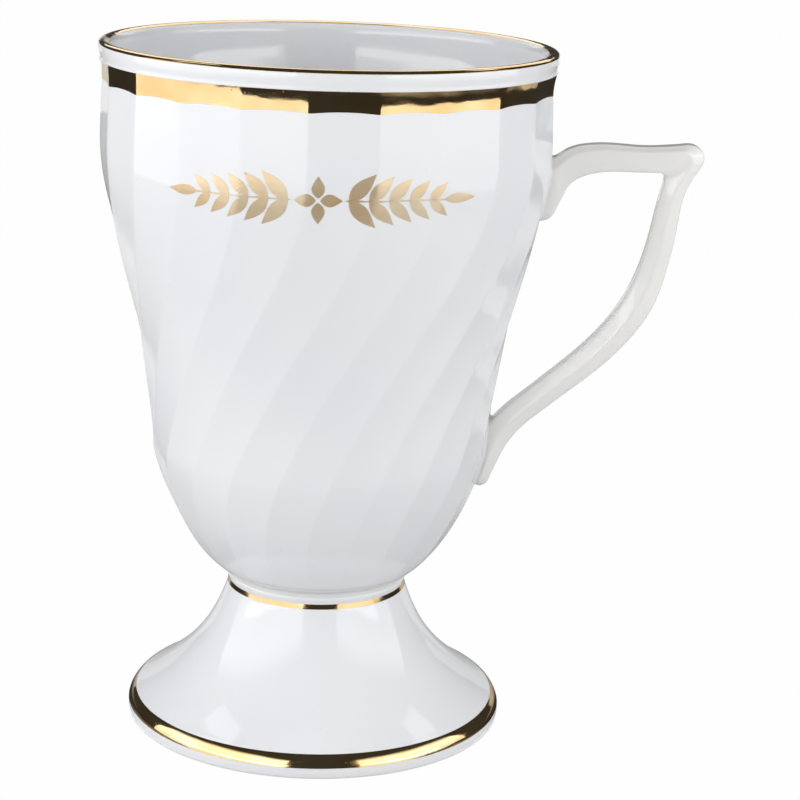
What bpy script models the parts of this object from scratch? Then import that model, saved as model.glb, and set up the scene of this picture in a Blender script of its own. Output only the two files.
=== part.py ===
"""A footed porcelain coffee cup with a twisted, faceted bowl, a looped handle and gilded lines.

The bowl, the hollow foot and the handle are cast apart and stuck together with slip. The gilding
is four thin rings. Lengths are in metres, +Z is up and the handle points along +X.
"""
import math

import bmesh
import bpy
from mathutils import Vector
from mathutils.geometry import interpolate_bezier

# Clearances and thin layers
GAP = 0.00015
SLIP = 0.0004
GILDING = 0.00025

# Foot, from the table up
FOOT_HEIGHT = 0.0283
FOOT_RADIUS = 0.0364
FOOT_EDGE_HEIGHT = 0.0010
FOOT_EDGE_ROUND = 0.0005
FOOT_EDGE_INSET = 0.0020
FOOT_SHOULDER_HEIGHT = 0.0040
FOOT_SHOULDER_SLOPE = math.radians(26)
NECK_RADIUS = 0.0170
COLLAR_HEIGHT = 0.0013
COLLAR_FLARE = 0.0003
FOOT_WALL = 0.0032
CROWN_THICKNESS = 0.0034
STANDING_RING_WIDTH = 0.0030

# Bowl: rises are stacked upwards from its seat, and radii are at the ridges between facets
BOWL_SEAT_SLOPE = math.radians(24)
BELLY_RADIUS = 0.0321
BELLY_RISE = 0.0261
BELLY_SLOPE = math.radians(87)
SHOULDER_RADIUS = 0.0419
SHOULDER_RISE = 0.0570
RIM_TAPER = 0.0003
RIM_RISE = 0.0145
LIP_OVERHANG = 0.0009
LIP_BULGE = 0.0012
LIP_HALF_HEIGHT = 0.0016
LIP_FROM = math.radians(-70)
LIP_TO = math.radians(65)
LIP_ROUND = 0.0008
BOWL_WALL = 0.0028
BOWL_FLOOR = 0.0036
FLOOR_ROUND = 0.0015

# Facets of the bowl, which run straight down from the rim and then turn about the axis
FACETS = 22
FACET_TWIST = math.radians(49.5)
FACET_TURN_RISE = 0.0050
FACET_FADE = 0.0090

# Handle: the arm leaves the bowl near its shoulder, and the tail comes back low on the belly
HANDLE_REACH = 0.0278
ARM_THICKNESS = 0.0049
ARM_LIFT = 0.0016
ARM_TIP_LIFT = 0.0006
ARM_WIDTH = 0.0068
ARM_ROOT_FLARE = 0.0090
ARM_ROOT_DIP = 0.0025
ARM_ROOT_LENGTH = 0.0080
ARM_ROOT_WIDTH = 0.0088
BEND_INSET = 0.0038
BEND_FLARE = 0.0016
TAIL_THICKNESS = 0.0044
TAIL_SWELL = 0.0010
TAIL_WIDTH = 0.0066
TAIL_JOIN_RISE = 0.0321
TAIL_JOIN_REACH = 0.0044
TAIL_END_RISE = 0.0188
TAIL_END_WIDTH = 0.0076
ROOT_SINK = 0.0030
SLIP_BEAD = 0.0005

# Gilded lines
LIP_LINE_WIDTH = 0.0014
RIM_BAND_WIDTH = 0.0038
NECK_LINE_WIDTH = 0.0012
FOOT_BAND_LENGTH = 0.0029

# Pulls that round the curves, each a share of the rise or reach that its curve spans, and how
# quickly the handle's roots, bend and ends grow and fade along it
SEAT_PULL = 0.38
BELLY_PULL_BELOW = 0.14
BELLY_PULL_ABOVE = 0.50
SHOULDER_PULL = 0.27
RIM_PULL = 0.30
FOOT_EDGE_PULL = 0.46
BELL_PULL = 0.53
NECK_PULL = 0.12
TAIL_START_PULL = (-0.24, -0.67)
TAIL_JOIN_PULL = (0.73, 0.36)
TAIL_TURN_PULL = (-0.10, -0.05)
TAIL_END_PULL = (0.25, 0.45)
ROOT_FALL_POWER = 1.6
BEND_FALL_POWER = 2
BEND_SHARE = 0.125
SWELL_SHARE = 0.5
END_ROUND_POWER = 6
TIP_FLAT = 0.04

# Fineness of the meshes
COLUMNS = 2 * FACETS
SECTION_POINTS = 16
SECTION_POWER = 2.4
SHARP_ANGLE = math.radians(28)

# Heights, radii and places that follow from the sizes above
SEAT_Z = FOOT_HEIGHT + GAP + SLIP + GAP
BELLY_Z = SEAT_Z + BELLY_RISE
SHOULDER_Z = BELLY_Z + SHOULDER_RISE
CREASE_Z = SHOULDER_Z + RIM_RISE
LIP_Z = CREASE_Z + LIP_HALF_HEIGHT
FLOOR_Z = SEAT_Z + BOWL_FLOOR
CREASE_RADIUS = SHOULDER_RADIUS - RIM_TAPER
LIP_RADIUS = CREASE_RADIUS + LIP_OVERHANG
FOOT_SHOULDER_RADIUS = FOOT_RADIUS - FOOT_EDGE_INSET
HALF_FACET = math.pi / FACETS
HANDLE_TIP = SHOULDER_RADIUS + HANDLE_REACH
ARM_TOP_Z = SHOULDER_Z + ARM_LIFT
ARM_Z = ARM_TOP_Z - ARM_THICKNESS / 2
AXIS_X = (LIP_RADIUS - HANDLE_TIP) / 2
GROOVE = GILDING + GAP
SKIN_OFFSET = GAP + SLIP + GAP


def smooth_step(value):
    """Ease from 0 to 1 as value goes from 0 to 1, and stay flat outside."""
    value = min(1.0, max(0.0, value))
    return value * value * (3 - 2 * value)


def bezier(start, start_pull, end_pull, end, count):
    """Points (x, z) along a curve; each pull is a vector from its own end of the curve."""
    ends = [Vector((p[0], 0, p[1])) for p in (start, end)]
    first = ends[0] + Vector((start_pull[0], 0, start_pull[1]))
    second = ends[1] + Vector((end_pull[0], 0, end_pull[1]))
    return [(p.x, p.z) for p in interpolate_bezier(ends[0], first, second, ends[1], count)]


def polar(length, angle):
    return (length * math.cos(angle), length * math.sin(angle))


def offset(outline, distance):
    """An outline moved sideways, to the right of its direction of travel where positive."""
    moved = []
    for index, (x, z) in enumerate(outline):
        before = outline[max(0, index - 1)]
        after = outline[min(len(outline) - 1, index + 1)]
        along = Vector((after[0] - before[0], after[1] - before[1])).normalized()
        moved.append((x + along.y * distance, z - along.x * distance))
    return moved


def ring(radius, z):
    """A level circle of points, one of them on the +X side."""
    turns = [2 * math.pi * column / COLUMNS for column in range(COLUMNS)]
    return [Vector((*polar(radius, turn), z)) for turn in turns]


def facet_depth(z):
    """How far the facets are cut at a height: none at the seat and the lip, all in between."""
    if z > CREASE_Z:
        return 0.0
    return smooth_step((z - SEAT_Z) / FACET_FADE)


def facet_turn(z):
    """How far the facets have turned about the axis at a height, straight near the rim."""
    span = SHOULDER_Z - SEAT_Z - FACET_TURN_RISE
    return -FACET_TWIST * smooth_step((SHOULDER_Z - z) / span)


def facet_ring(radius, z):
    """A ring of the bowl's outside: ridges at the radius, the middle of each facet further in."""
    flat = radius * (1 - math.cos(HALF_FACET)) * facet_depth(z)
    points = []
    for column in range(COLUMNS):
        reach = radius - flat if column % 2 == 0 else radius
        points.append(Vector((*polar(reach, HALF_FACET * column + facet_turn(z)), z)))
    return points


def bowl_outline():
    """The bowl's outside from its seat up to the crease under the lip, as (radius, height)."""
    seat = (NECK_RADIUS, SEAT_Z)
    belly = (BELLY_RADIUS, BELLY_Z)
    shoulder = (SHOULDER_RADIUS, SHOULDER_Z)
    crease = (CREASE_RADIUS, CREASE_Z)
    leave_seat = polar(BELLY_RISE * SEAT_PULL, BOWL_SEAT_SLOPE)
    reach_belly = polar(-BELLY_RISE * BELLY_PULL_BELOW, BELLY_SLOPE)
    leave_belly = polar(SHOULDER_RISE * BELLY_PULL_ABOVE, BELLY_SLOPE)
    under = bezier(seat, leave_seat, reach_belly, belly, 9)
    side = bezier(belly, leave_belly, (0, -SHOULDER_RISE * SHOULDER_PULL), shoulder, 13)
    rim = bezier(shoulder, (0, RIM_RISE * RIM_PULL), (0, -RIM_RISE * RIM_PULL), crease, 5)
    return under + side[1:] + rim[1:]


def wall_radius(z):
    """The bowl's outer radius at the ridges at a height."""
    outline = bowl_outline()
    for low, high in zip(outline, outline[1:]):
        if low[1] <= z <= high[1]:
            share = (z - low[1]) / (high[1] - low[1])
            return low[0] + share * (high[0] - low[0])
    return outline[0][0] if z < outline[0][1] else outline[-1][0]


def mesh_object(name, bm, material):
    """Finish a mesh as a named object that stands on the cup's axis."""
    bmesh.ops.recalc_face_normals(bm, faces=bm.faces)
    mesh = bpy.data.meshes.new(name)
    bm.to_mesh(mesh)
    bm.free()
    mesh.shade_smooth()
    mesh.set_sharp_from_angle(angle=SHARP_ANGLE)
    mesh.materials.append(material)
    made = bpy.data.objects.new(name, mesh)
    bpy.context.collection.objects.link(made)
    made.parent = cup_axis
    return made


def loft(name, rings, material, closed=False):
    """A body through rings of points; its ends are flat caps, or it closes on its first ring."""
    bm = bmesh.new()
    rows = [[bm.verts.new(point) for point in points] for points in rings]
    pairs = list(zip(rows, rows[1:]))
    if closed:
        pairs.append((rows[-1], rows[0]))
    for low, high in pairs:
        for index in range(len(low)):
            after = (index + 1) % len(low)
            bm.faces.new((low[index], low[after], high[after], high[index]))
    if not closed:
        bm.faces.new(rows[0])
        bm.faces.new(rows[-1])
    return mesh_object(name, bm, material)


def band(name, outer, material, ring_of):
    """A thin gilded ring whose outside follows an outline, flush with what it lies in."""
    inner = offset(outer, -GILDING)
    return loft(name, [ring_of(*p) for p in outer + inner[::-1]], material, closed=True)


def point_along(outline, length):
    """The point of an outline at a length from its start."""
    for low, high in zip(outline, outline[1:]):
        step = math.dist(low, high)
        if length < step:
            share = length / step
            return (low[0] + share * (high[0] - low[0]), low[1] + share * (high[1] - low[1]))
        length -= step
    return outline[-1]


def stretch(outline, start, end, count):
    """Evenly spaced points of an outline between two lengths from its start."""
    return [point_along(outline, start + (end - start) * step / (count - 1)) for step in range(count)]


def finish(name, colour, roughness, metallic):
    material = bpy.data.materials.new(name)
    material.use_nodes = True
    shader = material.node_tree.nodes["Principled BSDF"]
    shader.inputs["Base Color"].default_value = (*colour, 1)
    shader.inputs["Roughness"].default_value = roughness
    shader.inputs["Metallic"].default_value = metallic
    return material


def lip_outline():
    """The outer half of the rolled lip, from the crease up to the land under its gilded line."""
    centre = LIP_RADIUS - LIP_BULGE
    turns = [LIP_FROM + (LIP_TO - LIP_FROM) * step / 4 for step in range(5)]
    return [(centre + LIP_BULGE * math.cos(a), LIP_Z + LIP_HALF_HEIGHT * math.sin(a)) for a in turns]


def rim_band_span():
    """Lower and upper height of the rim band's groove."""
    return CREASE_Z - RIM_BAND_WIDTH, CREASE_Z


def rounded_corner(radius, z, towards):
    """The last two points of a hollow, where its side turns into its flat end, above or below."""
    slack = FLOOR_ROUND / 3
    return [(radius - slack, z - towards * slack), (radius - FLOOR_ROUND, z)]


def make_bowl():
    """The bowl: faceted outside with a groove for the rim band, rolled lip, plain round inside."""
    outline = bowl_outline()
    low, high = rim_band_span()
    below = [p for p in outline if p[1] < low]
    rows = [facet_ring(*p) for p in below]
    for z, depth in ((low, 0), (low, GROOVE), (high, GROOVE), (high, 0)):
        rows.append(facet_ring(wall_radius(z) - depth, z))
    lip = lip_outline()
    rows += [ring(*p) for p in lip]
    land_z = lip[-1][1]
    inside = offset(outline, -BOWL_WALL - SHOULDER_RADIUS * (1 - math.cos(HALF_FACET)))[::2]
    inside = [p for p in inside if p[1] > FLOOR_Z + FLOOR_ROUND]
    rows.append(ring(inside[-1][0] + LIP_ROUND, land_z))
    rows.append(ring(inside[-1][0], land_z - LIP_ROUND))
    rows += [ring(*p) for p in inside[::-1]]
    rows += [ring(*p) for p in rounded_corner(inside[0][0], FLOOR_Z, -1)]
    return loft("bowl", rows, glaze)


def foot_edge():
    """The rounded outer edge of the foot, from above the table to where the bell begins."""
    slope = math.pi - FOOT_SHOULDER_SLOPE
    rise = FOOT_SHOULDER_HEIGHT - FOOT_EDGE_HEIGHT
    start = (FOOT_RADIUS, FOOT_EDGE_HEIGHT)
    end = (FOOT_SHOULDER_RADIUS, FOOT_SHOULDER_HEIGHT)
    return bezier(start, (0, rise * FOOT_EDGE_PULL), polar(-rise * FOOT_EDGE_PULL, slope), end, 8)


def foot_bell():
    """The hollow curve of the foot, from its edge up to the narrowest place of the neck."""
    slope = math.pi - FOOT_SHOULDER_SLOPE
    start = (FOOT_SHOULDER_RADIUS, FOOT_SHOULDER_HEIGHT)
    end = (NECK_RADIUS, neck_span()[0])
    rise = end[1] - start[1]
    return bezier(start, polar(rise * BELL_PULL, slope), (0, -rise * NECK_PULL), end, 11)


def neck_span():
    """Lower and upper height of the groove for the neck's gilded line."""
    top = FOOT_HEIGHT - COLLAR_HEIGHT
    return top - NECK_LINE_WIDTH, top


def foot_band_groove():
    """Where the gilded band lies on the edge of the foot: it ends where the bell begins."""
    edge = foot_edge()
    length = sum(math.dist(a, b) for a, b in zip(edge, edge[1:]))
    return edge, length - FOOT_BAND_LENGTH, length


def make_foot():
    """The hollow foot: standing ring, edge with its groove, bell, neck with its groove, collar."""
    edge, start, end = foot_band_groove()
    bell = foot_bell()
    low, high = neck_span()
    profile = [(FOOT_RADIUS - FOOT_EDGE_ROUND, 0), (FOOT_RADIUS, FOOT_EDGE_ROUND)]
    profile += stretch(edge, 0, start, 3) + offset(stretch(edge, start, end, 5), -GROOVE) + bell
    profile += [(NECK_RADIUS - GROOVE, low), (NECK_RADIUS - GROOVE, high), (NECK_RADIUS, high)]
    profile.append((NECK_RADIUS + COLLAR_FLARE, FOOT_HEIGHT))
    ceiling = FOOT_HEIGHT - CROWN_THICKNESS
    hollow = [p for p in offset(bell, -FOOT_WALL) if FOOT_EDGE_ROUND < p[1] < ceiling - FLOOR_ROUND]
    stand = (FOOT_RADIUS - FOOT_EDGE_ROUND - STANDING_RING_WIDTH, 0)
    inside = [stand] + hollow + rounded_corner(hollow[-1][0], ceiling, 1)
    return loft("foot", [ring(*p) for p in inside[::-1] + profile], glaze)


def make_neck_slip():
    """The thin disc of slip that holds the bowl on the foot."""
    low = FOOT_HEIGHT + GAP
    return loft("neck_slip", [ring(NECK_RADIUS, low), ring(NECK_RADIUS, low + SLIP)], slip)


def make_gilding():
    """The four gilded rings, each flush in its groove or on the land of the lip."""
    land = lip_outline()[-1]
    outer = land[0] - GAP
    inner = outer - LIP_LINE_WIDTH
    base = land[1] + GAP
    top = base + GILDING
    crown = [(outer, base), (outer - GILDING, top), (inner + GILDING, top), (inner, base)]
    loft("lip_gilt_line", [ring(*p) for p in crown], gold, closed=True)
    low, high = rim_band_span()
    heights = (low + GAP, (low + high) / 2, high - GAP)
    band("rim_gilt_band", [(wall_radius(z), z) for z in heights], gold, facet_ring)
    low, high = neck_span()
    band("neck_gilt_line", [(NECK_RADIUS, low + GAP), (NECK_RADIUS, high - GAP)], gold, ring)
    edge, start, end = foot_band_groove()
    band("foot_gilt_band", stretch(edge, start + GAP, end - GAP, 5), gold, ring)


def section(centre, across, half_thickness, half_width):
    """A rounded cross-section of the handle, thick along across and wide along Y."""
    points = []
    for step in range(SECTION_POINTS):
        angle = 2 * math.pi * step / SECTION_POINTS
        side, out = math.cos(angle), math.sin(angle)
        thick = math.copysign(abs(side) ** (2 / SECTION_POWER), side) * half_thickness
        wide = math.copysign(abs(out) ** (2 / SECTION_POWER), out) * half_width
        points.append(Vector((centre[0], 0, centre[1])) + across * thick + Vector((0, wide, 0)))
    return points


def make_arm():
    """The upper arm, from inside the bowl's wall out to the rounded tip past the bend."""
    upright = Vector((0, 0, 1))
    flared = [SHOULDER_RADIUS - ROOT_SINK + ARM_ROOT_LENGTH * step / 6 for step in range(9)]
    straight = HANDLE_TIP - ARM_THICKNESS / 2
    plain = [flared[-1] + (straight - flared[-1]) * step / 4 for step in range(1, 5)]
    rings = []
    for x in flared + plain:
        near = 1 - (x - SHOULDER_RADIUS) / ARM_ROOT_LENGTH
        near = min(1.0, max(0.0, near)) ** ROOT_FALL_POWER
        lift = ARM_TIP_LIFT * smooth_step((x - flared[-1]) / (straight - flared[-1]))
        top = ARM_TOP_Z + lift - ARM_ROOT_DIP * near
        bottom = ARM_TOP_Z - ARM_THICKNESS - ARM_ROOT_FLARE * near
        width = ARM_WIDTH + (ARM_ROOT_WIDTH - ARM_WIDTH) * near
        rings.append(section((x, (top + bottom) / 2), upright, (top - bottom) / 2, width / 2))
    half = (top - bottom) / 2
    for share in (0.45, 0.8, 0.97, 1.0):
        shrink = math.sqrt(max(TIP_FLAT, 1 - share * share))
        x = straight + (HANDLE_TIP - straight) * share
        rings.append(section((x, bottom + half), upright, half * shrink, ARM_WIDTH / 2 * shrink))
    return loft("handle", rings, glaze)


def tail_path():
    """The middle line of the tail: down from the bend, in to the belly and along the wall."""
    start = (HANDLE_TIP - BEND_INSET, ARM_Z)
    join_z = SEAT_Z + TAIL_JOIN_RISE
    join = (wall_radius(join_z) + TAIL_JOIN_REACH, join_z)
    end_z = SEAT_Z + TAIL_END_RISE
    end = (wall_radius(end_z), end_z)
    drop = start[1] - join[1]
    inward = start[0] - join[0]
    lean = Vector((join[0] - end[0], join[1] - end[1]))
    pulls = [(inward * x, drop * z) for x, z in (TAIL_START_PULL, TAIL_JOIN_PULL, TAIL_TURN_PULL)]
    first = bezier(start, pulls[0], pulls[1], join, 20)
    second = bezier(join, pulls[2], (lean.x * TAIL_END_PULL[0], lean.y * TAIL_END_PULL[1]), end, 9)
    return first, second[1:]


def make_tail():
    """The lower arm of the handle, widening into the bend above and ending along the wall."""
    first, second = tail_path()
    path = first + second
    rings = []
    for index, (x, z) in enumerate(path):
        before = path[max(0, index - 1)]
        after = path[min(len(path) - 1, index + 1)]
        along = Vector((after[0] - before[0], 0, after[1] - before[1])).normalized()
        across = Vector((-along.z, 0, along.x))
        share = index / (len(first) - 1)
        half = TAIL_THICKNESS / 2 + TAIL_SWELL / 2 * smooth_step(share / SWELL_SHARE)
        flare = BEND_FLARE * max(0.0, 1 - share / BEND_SHARE) ** BEND_FALL_POWER
        end_share = max(0.0, (index - len(first) + 1) / len(second))
        width = TAIL_WIDTH + (TAIL_END_WIDTH - TAIL_WIDTH) * smooth_step(end_share / SWELL_SHARE)
        shrink = math.sqrt(max(TIP_FLAT, 1 - end_share ** END_ROUND_POWER))
        centre = (x + across.x * flare / 2, z + across.z * flare / 2)
        rings.append(section(centre, across, (half + flare / 2) * shrink, width / 2 * shrink))
    return hide(loft("tail_guide", rings, glaze))


def hide(guide):
    """Keep a helper body out of the finished cup."""
    guide.hide_render = True
    guide.display_type = 'WIRE'
    return guide


def wall_guide(distance):
    """The bowl's faceted outside grown by a distance, as a solid to trim pieces against it."""
    rings = [facet_ring(radius + distance, z) for radius, z in bowl_outline()]
    return hide(loft("wall_guide", rings, glaze))


def trim(piece, guide, operation):
    cut = piece.modifiers.new(operation.lower(), 'BOOLEAN')
    cut.operation = operation
    cut.solver = 'EXACT'
    cut.object = guide


def make_handle():
    """Arm and tail as one casting, trimmed to stand off the wall by the slip."""
    handle = make_arm()
    trim(handle, make_tail(), 'UNION')
    trim(handle, wall_guide(SKIN_OFFSET), 'DIFFERENCE')
    return handle


def make_slip_pad(name, low_z, high_z, width):
    """A pad of slip on the wall under a root of the handle, a bead wider than the root."""
    half_height = (high_z - low_z) / 2 + SLIP_BEAD
    middle = (low_z + high_z) / 2
    upright = Vector((0, 0, 1))
    reach = (wall_radius(low_z) - ROOT_SINK, wall_radius(high_z) + ROOT_SINK)
    rings = [section((x, middle), upright, half_height, width / 2 + SLIP_BEAD) for x in reach]
    pad = loft(name, rings, slip)
    trim(pad, wall_guide(GAP), 'DIFFERENCE')
    trim(pad, wall_guide(GAP + SLIP), 'INTERSECT')
    return pad


for old in list(bpy.data.objects):
    bpy.data.objects.remove(old)

cup_axis = bpy.data.objects.new("cup_axis", None)
cup_axis.location = (AXIS_X, 0, 0)
bpy.context.collection.objects.link(cup_axis)

glaze = finish("glazed_porcelain", (0.84, 0.84, 0.82), 0.08, 0.0)
slip = finish("glazed_slip", (0.80, 0.79, 0.76), 0.14, 0.0)
gold = finish("bright_gilding", (0.83, 0.58, 0.22), 0.16, 1.0)

make_foot()
make_neck_slip()
make_bowl()
make_handle()
arm_root_low = ARM_TOP_Z - ARM_THICKNESS - ARM_ROOT_FLARE
make_slip_pad("arm_slip", arm_root_low, ARM_TOP_Z - ARM_ROOT_DIP, ARM_ROOT_WIDTH)
tail_top = SEAT_Z + TAIL_JOIN_RISE - TAIL_THICKNESS / 4
make_slip_pad("tail_slip", SEAT_Z + TAIL_END_RISE, tail_top, TAIL_END_WIDTH)
make_gilding()
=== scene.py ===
"""The looks of a footed porcelain coffee cup: faceted bowl, bell foot, looped handle and gilding.

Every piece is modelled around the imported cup, in metres, with +Z up and the handle along +X.
"""
import math

import bmesh
import bpy
from mathutils import Matrix, Vector
from mathutils.geometry import interpolate_bezier


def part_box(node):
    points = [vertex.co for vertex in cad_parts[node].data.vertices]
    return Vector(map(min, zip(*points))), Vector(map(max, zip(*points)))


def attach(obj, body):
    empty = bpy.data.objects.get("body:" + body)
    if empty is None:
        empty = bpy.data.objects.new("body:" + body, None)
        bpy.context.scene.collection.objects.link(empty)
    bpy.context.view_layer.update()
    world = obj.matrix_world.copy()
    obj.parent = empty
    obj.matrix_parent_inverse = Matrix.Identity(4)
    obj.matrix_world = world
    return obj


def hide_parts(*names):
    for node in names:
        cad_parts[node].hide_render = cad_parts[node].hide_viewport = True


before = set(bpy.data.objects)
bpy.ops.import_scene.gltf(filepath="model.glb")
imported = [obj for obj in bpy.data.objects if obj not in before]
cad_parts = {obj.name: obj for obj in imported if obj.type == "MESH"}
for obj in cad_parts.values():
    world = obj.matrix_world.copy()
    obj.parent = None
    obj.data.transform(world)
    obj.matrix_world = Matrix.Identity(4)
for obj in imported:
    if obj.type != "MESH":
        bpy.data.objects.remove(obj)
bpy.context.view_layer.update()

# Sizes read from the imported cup
FOOT_LOW, FOOT_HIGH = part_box("foot")
BOWL_LOW, BOWL_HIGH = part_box("bowl")
NECK_LOW, NECK_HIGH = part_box("neck_gilt_line")
BAND_LOW, BAND_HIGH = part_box("rim_gilt_band")
AXIS_X = (FOOT_LOW.x + FOOT_HIGH.x) / 2
FOOT_RADIUS = (FOOT_HIGH.x - FOOT_LOW.x) / 2
FOOT_TOP = FOOT_HIGH.z
NECK_RADIUS = (NECK_HIGH.x - NECK_LOW.x) / 2
SEAT_Z = BOWL_LOW.z
LIP_RADIUS = (BOWL_HIGH.y - BOWL_LOW.y) / 2
LIP_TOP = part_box("lip_gilt_line")[1].z

# Corners closer than this are one
SAME_PLACE = 1e-7

# Bowl: rises are stacked upwards from its seat, and radii are at the ridges between facets
SEAT_SLOPE = math.radians(24)
BELLY_RADIUS = 0.0322
BELLY_Z = SEAT_Z + 0.0261
BELLY_SLOPE = math.radians(87)
SHOULDER_RADIUS = 0.0420
SHOULDER_Z = BELLY_Z + 0.0570
CREASE_RADIUS = 0.0416
CREASE_Z = BAND_HIGH.z
BAND_FLARE = 0.00029
BAND_CURVE = 2.0
BAND_STEPS = 8
BAND_LEAN = (0.00018, -0.00004)
WALL = 0.0030
OUTSIDE = LIP_RADIUS - WALL / 2
FLOOR_THICKNESS = 0.0036
FLOOR_ROUND = 0.0060

# Curves of the bowl's outside: pulls as shares of each curve's rise, and how many points each has
SEAT_PULL = 0.38
BELLY_PULLS = (0.14, 0.50)
SHOULDER_PULLS = (0.27, 0.30)
CREASE_PULL = 0.30
UNDER_POINTS = 22
SIDE_POINTS = 34
RIM_POINTS = 9

# Lip: places inwards from its radius and up from the crease or down from its top, and pulls of its curves
LIP_STEP = (0.0001, 0.00005)
LIP_UNDER = (0.0006, 0.0005)
LIP_WIDEST = (0.0003, 0.0014)
LIP_CROWN = 0.0013
LIP_STEP_PULLS = ((0.0002, 0.0), (0.0, -0.0003))
LIP_SIDE_PULLS = ((0.0001, 0.0006), (0.0, -0.0005))
LIP_CROWN_PULLS = ((0.0, 0.0009), (0.0008, 0.0))
LIP_POINTS = (5, 6, 12)

# Inside of the bowl, which leans in more under the lip than the outside does
INSIDE_TOP = (LIP_RADIUS - 0.0030, LIP_TOP - 0.0022)
INSIDE_TOP_LEAN = math.radians(1.5)
INSIDE_WAIST = (LIP_RADIUS - 0.0036, LIP_TOP - 0.0080)
INSIDE_WAIST_LEAN = math.radians(10.5)
INSIDE_LOW_Z = 0.078
MOUTH_PULLS = (0.35, 0.50)
WAIST_PULL = 0.35
FLOOR_PULLS = (0.3, 0.5)
FLOOR_FLAT = 0.35
INSIDE_POINTS = (9, 10, 12, 9)

# Facets, which run straight down from the rim and then turn about the axis
FACETS = 22
HALF_FACET = math.pi / FACETS
RIDGE_ROUND = 0.0004
RIDGE_SEGMENTS = 3
FACET_CUTS = 6
LEAST_FACET = 0.001
FACET_TWIST = math.radians(49.5)
TURN_END_Z = SEAT_Z + 0.0050
FACET_FADE = 0.0090

# Foot
SHOULDER_OF_FOOT = (FOOT_RADIUS - 0.0026, 0.0050)
FOOT_SLOPE = math.radians(33)
FOOT_EDGE_Z = 0.0007
EDGE_PULLS = (0.72, 0.22)
EDGE_POINTS = 24
BELL_PULL = 0.60
NECK_PULL = (0.13, -0.38)
BELL_POINTS = 36
FOOT_EDGE_ROUND = 0.0005
FOOT_EDGE_TURNS = (0.0, math.radians(30), math.radians(60))
STANDING_RING = 0.0030
FOOT_WALL = 0.0032
CROWN = 0.0034
ROOF_PULLS = (0.2, 0.6)
ROOF_FLAT = 0.5
ROOF_POINTS = 7
COLLAR_FLARE = 0.0003
COLLAR_RADII = (NECK_RADIUS + COLLAR_FLARE * 0.6, NECK_RADIUS + COLLAR_FLARE,
                NECK_RADIUS + COLLAR_FLARE * 0.4)
COLLAR_RISE = 0.0005
COLLAR_EDGE = 0.0004
LINE_TAPER = 0.0002
FOOT_CORNERS = 144

# Gilding: the heights of each film, and the radius that it lies outside
FILM = 0.00005
FILM_LIFT = 0.00002
FILM_CREASE = math.radians(40)
LIP_LINE = (LIP_TOP - 0.0006, LIP_TOP + 0.001, LIP_RADIUS - 0.0022)
NECK_LINE = (NECK_LOW.z, NECK_HIGH.z, NECK_RADIUS - 0.0005)
FOOT_BAND = (0.0022, 0.0043, FOOT_RADIUS - 0.0030)
SCALLOP = 0.0003
SCALLOP_STEPS = 12
FIRST_RIDGE = 0.5

# Joints of fired slip: the heights between which each root of the handle lies, and the corner at the neck
ARM_ROOT = (0.094, 0.116)
TAIL_ROOT = (0.042, 0.066)
ROOT_HALF_WIDTH = 0.0075
ROOT_REACH = 0.0050
JOINT_DEPTH = 0.0012
JOINT_GRAIN = 0.00022
JOINT_SMOOTHING = 0.5
JOINT_ROUNDS = 24
JOINT_SINK = 0.00006
NECK_JOINT_SINK = 0.0002
NECK_JOINT_REACH = (0.0011, 0.0005)
NECK_JOINT_PULLS = ((0.0, 0.0005), (-0.0007, -0.0003))
NECK_JOINT_POINTS = 10

# Gold sprig on the front: lengths along it from its middle, and widths as shares of a leaf's length
SPRIG_X = AXIS_X + 0.0018
SPRIG_Z = 0.1080
SPRIG_START = 0.0052
SPRIG_STEP = 0.0034
SPRIG_PAIRS = 5
LEAF_LENGTH = 0.0064
LEAF_WIDTH = 0.40
LEAF_POINT = 0.8
LEAF_TIP = 0.02
LEAF_TILT = math.radians(46)
LEAF_SHRINK = 0.09
LEAF_COLUMNS = 10
LEAF_ROWS = 4
END_LEAF = (LEAF_LENGTH * 0.8, LEAF_LENGTH * 0.7)
END_BACK = SPRIG_STEP * 0.3
STEM = (SPRIG_STEP * 1.25, 0.0010)
STEM_BACK = SPRIG_STEP * 0.2
PETAL_LENGTH = 0.0037
PETAL = (PETAL_LENGTH, PETAL_LENGTH * 1.5)
PETAL_GAP = 0.0004

# Ribs of the handle in millimetres: outer x and z, inner x and z from the axis, and half the width
HANDLE_RIBS = (
    (39.9, 110.2, 39.7, 99.0, 4.5),
    (42.3, 110.9, 42.0, 99.9, 4.4),
    (44.6, 112.4, 43.7, 103.4, 3.9),
    (47.5, 113.3, 45.9, 106.8, 3.55),
    (52.0, 113.65, 51.0, 108.6, 3.4),
    (58.5, 113.4, 58.0, 108.8, 3.4),
    (64.1, 113.8, 61.4, 108.85, 3.4),
    (67.3, 114.1, 62.2, 108.5, 3.35),
    (69.3, 112.9, 62.45, 108.1, 3.1),
    (69.4, 110.7, 62.5, 107.6, 3.1),
    (67.3, 107.0, 62.3, 106.4, 3.2),
    (66.0, 103.2, 61.5, 103.0, 3.3),
    (64.6, 93.3, 59.4, 92.8, 3.3),
    (61.5, 82.6, 56.0, 84.3, 3.3),
    (54.5, 73.2, 50.0, 76.2, 3.3),
    (44.3, 64.3, 40.6, 67.5, 3.35),
    (38.6, 59.3, 34.6, 62.2, 3.45),
    (35.6, 55.3, 31.2, 57.6, 3.6),
    (33.4, 50.4, 29.9, 51.8, 3.7),
    (32.3, 47.8, 29.0, 48.8, 3.2),
    (30.9, 46.9, 28.9, 47.9, 2.0),
)
MILLIMETRE = 0.001
SECTIONS_PER_RIB = 5
SECTION_SIDES = 6
SECTION_FLAT = 0.62
SECTION_ROUND = 0.17
SECTION_SEGMENTS = 3
RIDGE_FROM = 0.8
ARM_RIDGE = 0.55
TAIL_RIDGE = 0.0
INNER_FROM = 0.6
ARM_INNER_WIDTH = 1.35
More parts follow.
